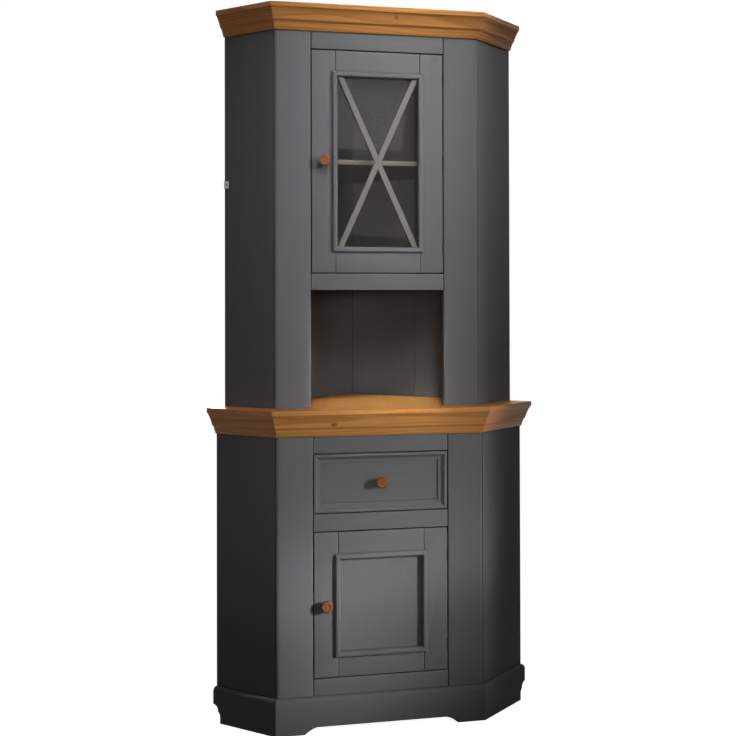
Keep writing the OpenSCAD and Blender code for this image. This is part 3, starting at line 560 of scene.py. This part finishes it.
def lacquer(name, shade, light, worn_highlit_edge):
    """Satin lacquer over pine: shade to light in the streaks, painted shade in the joints, and a
    lighter tone on the eased edges that is part wear and part painted highlight.
    """
    finish = bpy.data.materials.new(name)
    tree = empty_tree(finish)
    rings, fibres, patches = wood_figure(tree, LACQUERED_RING)
    broad = calc(tree, "MULTIPLY", patches, PATCH_SHARE)
    streaks = calc(tree, "MULTIPLY_ADD", fibres, FIBRE_SHARE, broad)
    body = ramp(tree, streaks, (0.25, shade), (0.75, light))
    body = tint(tree, body, ramp(tree, rings, *LATE_WOOD))
    # painted shade: the colour darkens in narrow joints and inside corners, where little open air
    # is found
    open_air = step(tree, "ShaderNodeAmbientOcclusion", {"Distance": JOINT_WIDTH}, "AO",
                    samples=JOINT_RAYS)
    body = tint(tree, body, ramp(tree, open_air, *PAINTED_JOINT_SHADE))
    # the eased edges are lightened: part worn lacquer, part painted highlight
    arris = step(tree, "ShaderNodeAttribute", attribute_name="arris", out="Fac")
    worn_highlit_noise = step(tree, "ShaderNodeTexNoise", {"Scale": WORN_HIGHLIT_SCALE, "Detail": WORN_HIGHLIT_DETAIL})
    worn_highlit_share = calc(tree, "MULTIPLY_ADD", worn_highlit_noise, WORN_HIGHLIT_SPREAD, WORN_HIGHLIT_LEAST)
    colour = blend_colours(tree, calc(tree, "MULTIPLY", arris, worn_highlit_share), body, worn_highlit_edge)
    gloss = calc(tree, "MULTIPLY_ADD", patches, SATIN_SPREAD, SATIN)
    relief = calc(tree, "MULTIPLY_ADD", rings, RINGS_UNDER_LACQUER, fibres)
    level = {"Specular IOR Level": SATIN_LEVEL}
    finish_surface(tree, colour, gloss, relief, LACQUER_RELIEF, **level)
    return finish


# the third tone is the eased edges' lighter tone: worn lacquer and a painted highlight
grey = lacquer("grey_lacquer", tone(108, 108, 109), tone(113, 113, 114), tone(127, 127, 128))
pale = lacquer("pale_lacquer", tone(113, 111, 107), tone(120, 118, 113), tone(134, 132, 127))
print("lacquers:", grey.name, pale.name)

# %% [markdown]
# ## Pine
# The worktop and the crown are stained honey and lacquered. The late wood of each ring takes more
# stain and goes reddish, and the knots are small and reddish brown. The short mouldings at both
# ends are redder than the long ones in front, and also lighter: that lightness is painted light,
# as the lamps reach the ends less. The drawer's box is left raw, and the knobs are turned from
# darker wood with close rings. Four trees could be built, one for each, but they differ only in
# colour, rings and gloss, so one function makes them all.

# %% Knots
KNOTS = (
    # place in metres, then half sizes along x, y and z
    ((-0.131, -0.3141, 0.823), (0.014, 0.035, 0.008)),
    ((0.018, -0.3141, 0.824), (0.008, 0.02, 0.005)),
    ((0.048, -0.2600, 1.932), (0.011, 0.010, 0.009)),
)
KNOT_TONE = tone(112, 56, 28)
KNOT_EDGE = ((0.0, WHITE), (0.55, even(0.8)), (1.0, even(0)))


def knots(tree):
    """How much a point shows of a knot: 1 in a knot's middle and 0 from its edge outwards."""
    place = object_place(tree)
    nearest = None
    for centre, sizes in KNOTS:
        away = vector_calc(tree, "SUBTRACT", place, centre)
        away = vector_calc(tree, "DIVIDE", away, sizes)
        away = vector_calc(tree, "LENGTH", away, out="Value")
        nearest = away if nearest is None else calc(tree, "MINIMUM", nearest, away)
    return ramp(tree, nearest, *KNOT_EDGE)


print("knots:", len(KNOTS))

# %% Pine finishes
PATCH_TINTS = ((0.3, (0.91, 0.89, 0.86, 1)), (0.7, even(1.05)))
FIBRE_TINTS = ((0.3, (0.93, 0.91, 0.89, 1)), (0.65, even(1.02)))
PINE_GLOSS_SPREAD = 0.14
RINGS_IN_PINE, PINE_RELIEF = 0.3, 0.00012
BOARD_RING, TURNED_RING = 0.0045, 0.0024


def pine(name, early, middle, late, rough, ring_width=BOARD_RING, level=0.3):
    """Clear or stained pine: early, middle and late wood of a growth ring."""
    finish = bpy.data.materials.new(name)
    tree = empty_tree(finish)
    rings, fibres, patches = wood_figure(tree, ring_width)
    colour = ramp(tree, rings, (0.0, early), (0.55, middle), (0.88, late), (1.0, early))
    colour = tint(tree, colour, ramp(tree, patches, *PATCH_TINTS))
    colour = tint(tree, colour, ramp(tree, fibres, *FIBRE_TINTS))
    colour = blend_colours(tree, knots(tree), colour, KNOT_TONE)
    gloss = calc(tree, "MULTIPLY_ADD", patches, PINE_GLOSS_SPREAD, rough)
    relief = calc(tree, "MULTIPLY_ADD", rings, RINGS_IN_PINE, fibres)
    finish_surface(tree, colour, gloss, relief, PINE_RELIEF, **{"Specular IOR Level": level})
    return finish


honey = pine("honey_pine", tone(207, 149, 86), tone(200, 140, 79), tone(187, 123, 64),
             rough=0.34, level=0.08)
# painted light: the end mouldings' pine is lighter than the honey pine, besides being redder
redder_lightened = pine("redder_lightened_pine", tone(228, 158, 98), tone(220, 148, 90), tone(202, 126, 72),
             rough=0.34, level=0.12)
raw = pine("raw_pine", tone(214, 186, 146), tone(208, 177, 134), tone(184, 146, 100), rough=0.62)
turned = pine("turned_pine", tone(146, 86, 42), tone(136, 77, 37), tone(114, 61, 29),
              rough=0.30, ring_width=TURNED_RING, level=0.25)
print("pines:", honey.name, redder_lightened.name, raw.name, turned.name)

# %% [markdown]
# ## Every board in its finish
# A joiner lays the grain along each board: up the posts, sides and stiles, across the rails, floors
# and shelves, and from front to back in the drawer's sides. The boards could be made one after the
# other, but a table shows each one's finish and grain at a glance, and one loop makes them all.

# %% Boards with eased edges
BOARDS = (
    # finish, slot, which way the grain runs, boards
    (grey, "paint", "up",
     "base_post_left base_post_right base_side_left base_side_right base_door_lock_stile "
     "base_door_hinge_stile base_door_panel hutch_post_left hutch_post_right hutch_side_left "
     "hutch_side_right hutch_door_lock_stile hutch_door_hinge_stile"),
    (grey, "paint", "across",
     "plinth_front base_bottom_rail base_mid_rail base_top_rail base_floor hutch_bottom_rail "
     "hutch_top_rail hutch_floor base_door_top_rail base_door_bottom_rail hutch_door_top_rail "
     "hutch_door_bottom_rail drawer_front"),
    (grey, "paint", "left", "plinth_left"),
    (grey, "paint", "right", "plinth_right"),
    (pale, "pale_paint", "across", "base_shelf hutch_shelf"),
    (honey, "pine", "across", "worktop_panel worktop_edge_front hutch_top crown_front"),
    # the end mouldings take the lighter, redder pine, whose lightness is painted light
    (redder_lightened, "pine", "left", "worktop_edge_left crown_left"),
    (redder_lightened, "pine", "right", "worktop_edge_right crown_right"),
    (raw, "raw_wood", "up", "rear_foot"),
    (raw, "raw_wood", "across", "drawer_back drawer_bottom"),
    (raw, "raw_wood", "inwards", "drawer_sides drawer_runners"),
)
for finish, slot, direction, names in BOARDS:
    for node in names.split():
        eased_board(node, direction, finish)
print("eased boards:", len(boards_made))

# %% [markdown]
# ## Backs, mouldings, bars and knobs
# The thin backs, the glazing bars and the turned knobs keep the shape that CAD gave them, and only
# get their grain and finish. The mouldings round the doors' panel and pane are mitred frames, eased
# more finely than the boards. They could be cut apart at their mitres; as whole frames, they need a
# rule instead that turns the grain at the corners.

# %% Backs, mouldings, bars and knobs
def around_opening(node):
    """A rule for a mitred frame: its upright members' grain runs up and its rails' across."""
    low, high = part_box(node)
    middle, half = (low + high) / 2, (high - low) / 2

    def rule(face):
        off = face.calc_center_median() - middle
        return "up" if abs(off.x) / half.x > abs(off.z) / half.z else "across"

    return rule


for node in ("base_back_left", "base_back_right", "hutch_back_left", "hutch_back_right"):
    eased_board(node, "up", grey, NO_EASE)
for node in ("base_door_moulding", "hutch_door_moulding"):
    eased_board(node, around_opening(node), grey, MOULDING_EASE)
eased_board("hutch_door_glazing_bars", "up", pale, NO_EASE)
for node in ("base_door_knob", "hutch_door_knob", "drawer_knob"):
    eased_board(node, "up", turned, NO_EASE)
face_count = sum(len(piece.data.polygons) for piece in boards_made.values())
print("boards and knobs:", len(boards_made), "faces:", face_count)

# %% [markdown]
# ## Steel
# The catches, pins and the fixing plate are nickel-plated steel with a fine brushed sheen, and the
# hinges are bronzed dark, so that they hardly show in the gap. Their CAD shapes are right, so they
# only get a finish. An anisotropic shader could draw the sheen, but a noise drawn out into brush
# lines also gives the relief, and a round one adds duller spots.

# %% Steel finishes
BRUSHED, BRUSHED_DETAIL = (900.0, 900.0, 40.0), 2.0
SPOTS_SCALE, SPOTS_DETAIL = 90.0, 4.0
STEEL_GLOSS_SPREAD, STEEL_RELIEF = 0.2, 0.00002


def steel_finish(name, shade, light, rough):
    """Brushed metal with a few duller spots, from shade to light."""
    finish = bpy.data.materials.new(name)
    tree = empty_tree(finish)
    place = object_place(tree)
    lines = stretched_noise(tree, place, BRUSHED, BRUSHED_DETAIL)
    spots = noise(tree, place, SPOTS_SCALE, SPOTS_DETAIL)
    colour = ramp(tree, spots, (0.3, shade), (0.7, light))
    gloss = calc(tree, "MULTIPLY_ADD", lines, STEEL_GLOSS_SPREAD, rough)
    finish_surface(tree, colour, gloss, lines, STEEL_RELIEF, Metallic=1.0)
    return finish


nickel = steel_finish("nickel_plate", tone(118, 119, 120), tone(138, 139, 140), rough=0.34)
bronzed = steel_finish("bronzed_steel", tone(46, 45, 45), tone(60, 59, 58), rough=0.38)
for node in ("door_catches", "shelf_pins", "fixing_plate"):
    frame["nodes"][node].data.materials[0] = nickel
for node in ("hinge_frame_leaves", "base_door_hinge_leaves", "hutch_door_hinge_leaves"):
    frame["nodes"][node].data.materials[0] = bronzed
print("steels:", nickel.name, bronzed.name)

# %% [markdown]
# ## Glass
# The pane is clear float glass: almost all light goes through, and a little is mirrored, more of it
# at a slant. A Glass shader would need many samples to let the light of the lamps through, so a
# see-through shader and a glossy one are mixed by the Fresnel node. Its index is set lower than
# that of glass, so that the inside of the hutch stays clear to see. A faint uneven film keeps the
# mirror image from looking perfect.

# %% Glass finish
PANE_COLOUR, MIRROR_INDEX, PANE_ROUGH = (0.98, 0.97, 0.95, 1), 1.22, 0.01
FILM_SCALE, FILM_DETAIL, FILM_IN_MIRROR, FILM_IN_GLOSS = 14.0, 5.0, 0.006, 0.05


def pane_finish():
    """Clear to look through, with a weak mirror image under a faint film."""
    finish = bpy.data.materials.new("clear_pane")
    tree = empty_tree(finish)
    film = noise(tree, object_place(tree), FILM_SCALE, FILM_DETAIL)
    mirrored = step(tree, "ShaderNodeFresnel", {"IOR": MIRROR_INDEX})
    share = calc(tree, "MULTIPLY_ADD", film, FILM_IN_MIRROR, mirrored)
    gloss = calc(tree, "MULTIPLY_ADD", film, FILM_IN_GLOSS, PANE_ROUGH)
    through = step(tree, "ShaderNodeBsdfTransparent", {"Color": PANE_COLOUR})
    sheen = step(tree, "ShaderNodeBsdfGlossy", {"Roughness": gloss})
    cover(tree, step(tree, "ShaderNodeMixShader", {0: share, 1: through, 2: sheen}))
    return finish


pane = pane_finish()
frame["nodes"]["hutch_door_glass"].data.materials[0] = pane
print("glass:", pane.name)

# %% [markdown]
# ## Screw and nail heads
# The hinge leaves are held by small cross-head screws, and the backs by nails. A cut through each
# head could make its cross, but a head repeats, so one of each is modelled with few faces, from
# rings of twelve points: the rim, the edge of the dome, the outline of the cross and, on a screw,
# that outline again at the bottom of its recess.

# %% One screw head and one nail head
HEAD_DEPTH, DOME_EDGE = 0.35, 0.97
CROSS_ARM, CROSS_HALF = 0.62, 0.13
RING_POINTS = 12
QUARTERS = [math.radians(90 * q) for q in range(4)]


def ring_of(bm, radius, height):
    """Twelve points on a circle, three for each quarter, in step with the cross."""
    ring = [math.radians(90 * q + a) for q in range(4) for a in (-15, 15, 45)]
    return [bm.verts.new((math.cos(a) * radius, math.sin(a) * radius, height)) for a in ring]


def cross_outline(height):
    """The twelve corners of a cross."""
    arm = ((CROSS_ARM, -CROSS_HALF, height), (CROSS_ARM, CROSS_HALF, height),
           (CROSS_HALF, CROSS_HALF, height))
    return [Matrix.Rotation(turn, 3, "Z") @ Vector(p) for turn in QUARTERS for p in arm]


def head_mesh(name, rise, recess):
    """A head of radius 1: a low dome with a cross recess, or a plain nail head if recess is 0."""
    bm = bmesh.new()
    rings = [ring_of(bm, 1, -HEAD_DEPTH), ring_of(bm, DOME_EDGE, 0.0)]
    cross = cross_outline(rise)
    rings.append([bm.verts.new(p) for p in cross])
    if recess:
        rings.append([bm.verts.new(p - Vector((0, 0, recess))) for p in cross])
    for low, high in zip(rings, rings[1:]):
        for k in range(RING_POINTS):
            after = (k + 1) % RING_POINTS
            bm.faces.new((low[k], low[after], high[after], high[k]))
    bm.faces.new(rings[-1])
    bm.faces.new(rings[0][::-1])
    mesh = bpy.data.meshes.new(name)
    bmesh.ops.recalc_face_normals(bm, faces=bm.faces)
    bm.to_mesh(mesh)
    bm.free()
    return bpy.data.objects.new(name, mesh)


screw_head = head_mesh("screw_head", 0.10, 0.30)
nail_head = head_mesh("nail_head", 0.16, 0)
print("faces of a screw head:", len(screw_head.data.polygons))

# %% [markdown]
# ## Trees that set the heads
# Heads could be copied to their places one by one, but Geometry Nodes set one on every place at
# once. Screws stand on loose points, and nails follow lines, so one tree reads the points and the
# other walks along each line at an even step. The places carry the direction that they face. Each
# head gets a turn of its own from a fixed seed, as no two screws stop at the same angle.

# %% Places and turns of the heads
def points_for_heads(tree, given, along_lines):
    """The given points, or points at even steps along the given lines."""
    if not along_lines:
        return given["Places"]
    curve = step(tree, "GeometryNodeMeshToCurve", {"Mesh": given["Places"]})
    wires = {"Curve": curve, "Length": given["Spacing"]}
    walk = step(tree, "GeometryNodeResampleCurve", wires, mode="LENGTH")
    return step(tree, "GeometryNodeCurveToPoints", {"Curve": walk}, mode="EVALUATED")


def turned_head(tree, given):
    """A rotation that points a head where its place faces, with a turn of its own."""
    facing = step(tree, "GeometryNodeInputNamedAttribute", {"Name": "facing"},
                  data_type="FLOAT_VECTOR")
    aimed = step(tree, "FunctionNodeAlignRotationToVector", {"Vector": facing}, axis="Z")
    turn = step(tree, "FunctionNodeRandomValue", {"Max": math.tau, "Seed": given["Seed"]}, 1,
                data_type="FLOAT")
    spin = step(tree, "FunctionNodeAxisAngleToRotation", {"Axis": (0, 0, 1), "Angle": turn})
    return step(tree, "FunctionNodeRotateRotation", {0: aimed, 1: spin}, rotation_space="LOCAL")


# %% The two trees
HEAD_INPUTS = (("Places", "Geometry"), ("Head", "Object"), ("Radius", "Float"),
               ("Spacing", "Float"), ("Finish", "Material"), ("Seed", "Int"))


def heads_tree(name, along_lines):
    """Heads on loose points, or at even steps along the lines of a mesh."""
    tree = bpy.data.node_groups.new(name, "GeometryNodeTree")
    tree.interface.new_socket("Geometry", in_out="OUTPUT", socket_type="NodeSocketGeometry")
    for label, kind in HEAD_INPUTS:
        tree.interface.new_socket(label, in_out="INPUT", socket_type="NodeSocket" + kind)
    given = tree.nodes.new("NodeGroupInput").outputs
    wires = {
        "Points": points_for_heads(tree, given, along_lines),
        "Instance": step(tree, "GeometryNodeObjectInfo", {"Object": given["Head"]}, "Geometry"),
        "Rotation": turned_head(tree, given),
        "Scale": step(tree, "ShaderNodeCombineXYZ", dict.fromkeys((0, 1, 2), given["Radius"])),
    }
    set_out = step(tree, "GeometryNodeInstanceOnPoints", wires)
    real = step(tree, "GeometryNodeRealizeInstances", {"Geometry": set_out})
    done = step(tree, "GeometryNodeSetMaterial", {"Geometry": real, "Material": given["Finish"]})
    tree.links.new(done, tree.nodes.new("NodeGroupOutput").inputs[0])
    return tree


screws_tree = heads_tree("screws_on_points", False)
nails_tree = heads_tree("nails_on_lines", True)
print("nodes for screws and nails:", len(screws_tree.nodes), len(nails_tree.nodes))

# %% Set the heads of one body
def places_mesh(name, runs):
    """Points, joined to a line within each run, that carry the direction they face."""
    lines = bpy.data.meshes.new(name)
    first, edges = 0, []
    for run, _ in runs:
        edges += [(first + k, first + k + 1) for k in range(len(run) - 1)]
        first += len(run)
    lines.from_pydata([p for run, _ in runs for p in run], edges, [])
    facing = lines.attributes.new("facing", "FLOAT_VECTOR", "POINT")
    facing.data.foreach_set("vector", [v for run, way in runs for _ in run for v in way])
    return lines


def set_heads(name, body, slot, tree, runs, **inputs):
    """Makes the heads of one body as one plain mesh. A run is a list of points and a direction."""
    carrier = add_object(name + "_places", places_mesh(name + "_places", runs))
    modifier = carrier.modifiers.new("heads", "NODES")
    modifier.node_group = tree
    for item in tree.interface.items_tree:
        if item.name in inputs:
            modifier[item.identifier] = inputs[item.name]
    shown = carrier.evaluated_get(bpy.context.evaluated_depsgraph_get())
    mesh = bpy.data.meshes.new_from_object(shown)
    mesh.name = name
    carrier.modifiers.clear()
    bpy.data.objects.remove(carrier)
    piece = add_object(name, mesh)
    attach(piece, body)
    print(name, "faces:", len(mesh.polygons))


# %% [markdown]
# ## Screws in the hinges
# Two screws hold each leaf of a hinge, one over the other. Their places could be typed in as plain
# points, but measured from the boards that carry the leaves they are sure to sit on them. The
# frame's leaves look left, towards the opening, and the doors' leaves look right.

# %% Screws on the hinge leaves
FRONT = {"base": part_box("base_post_left")[0].y, "hutch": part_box("hutch_post_left")[0].y}
HINGE_HEIGHTS = {"base": (0.2135, 0.4620), "hutch": (1.3020, 1.53675, 1.7715)}
LEAF_MIDDLE, LEAF_THICK, SCREW_STEP = 0.0105, 0.001, 0.009
FRAME_LEAF_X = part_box("base_post_right")[0].x - LEAF_THICK
DOOR_LEAF_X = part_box("base_door_hinge_stile")[1].x + LEAF_THICK
SCREW_RADIUS, PROUD = 0.0024, 0.00002
LEFT, RIGHT = -1, 1


def leaf_screws(tier, x, way):
    """One point for each screw in a tier's leaves at x, which look left or right."""
    return [
        ([(x + way * PROUD, FRONT[tier] + LEAF_MIDDLE, z + up)], (way, 0, 0))
        for z in HINGE_HEIGHTS[tier]
        for up in (-SCREW_STEP, SCREW_STEP)
    ]


frame_screws = leaf_screws("base", FRAME_LEAF_X, LEFT) + leaf_screws("hutch", FRAME_LEAF_X, LEFT)
HINGE_SCREWS = (
    # piece, body, places, seed
    ("frame_hinge_screws", "carcass", frame_screws, 3),
    ("base_hinge_screws", "base_door", leaf_screws("base", DOOR_LEAF_X, RIGHT), 5),
    ("hutch_hinge_screws", "hutch_door", leaf_screws("hutch", DOOR_LEAF_X, RIGHT), 7),
)
for name, body, runs, seed in HINGE_SCREWS:
    set_heads(name, body, "dark_steel", screws_tree, runs,
              Head=screw_head, Radius=SCREW_RADIUS, Finish=bronzed, Seed=seed)

# %% [markdown]
# ## Nails in the backs
# The back boards are nailed to the sides, floors and shelves from behind. Single points could be
# listed for the nails too, but a line with an even step follows the board's edge at any height. The
# outer faces of the backs leave the rear corner at 45 degrees, so y falls by as much as x grows.

# %% Nails along the edges of the backs
NAILED_BOARDS = {"base": ("base_floor", "base_shelf"), "hutch": ("hutch_floor", "hutch_shelf")}
NAIL_RADIUS, NAIL_STEP, NAIL_SEED = 0.0028, 0.085, 11
FROM_BOTTOM, FROM_TOP = 0.03, 0.02
FROM_CORNER, FROM_SIDE = 0.009, 0.024
LEVEL_FROM_CORNER, LEVEL_FROM_SIDE = 0.06, 0.08


def back_nails(tier):
    """Lines on the outer face of both backs: up both edges and along each level board."""
    right_low, right_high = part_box(tier + "_back_right")
    reach, span = right_high.y, right_high.x
    low, high = right_low.z + FROM_BOTTOM, right_high.z - FROM_TOP
    lines = [((x, low), (x, high)) for x in (FROM_CORNER, span - FROM_SIDE)]
    for board in NAILED_BOARDS[tier]:
        z = sum(corner.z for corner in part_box(board)) / 2
        lines.append(((LEVEL_FROM_CORNER, z), (span - LEVEL_FROM_SIDE, z)))
    return [
        ([(hand * x, reach - x, z) for x, z in line], (hand * math.sqrt(0.5), math.sqrt(0.5), 0))
        for hand in (LEFT, RIGHT)
        for line in lines
    ]


set_heads("back_nails", "carcass", "steel", nails_tree, back_nails("base") + back_nails("hutch"),
          Head=nail_head, Radius=NAIL_RADIUS, Spacing=NAIL_STEP, Finish=nickel, Seed=NAIL_SEED)

# %% [markdown]
# ## Measure and finish
# The dressed cabinet has to stay inside the box of its CAD solids. It could be measured by hand in
# the viewport, but a script that prints both boxes shows it after each change.

# %% Finish
for label, corners in (("CAD", cad_box), ("dressed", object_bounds())):
    print(label, "box:", [[round(v, 4) for v in corner] for corner in corners])
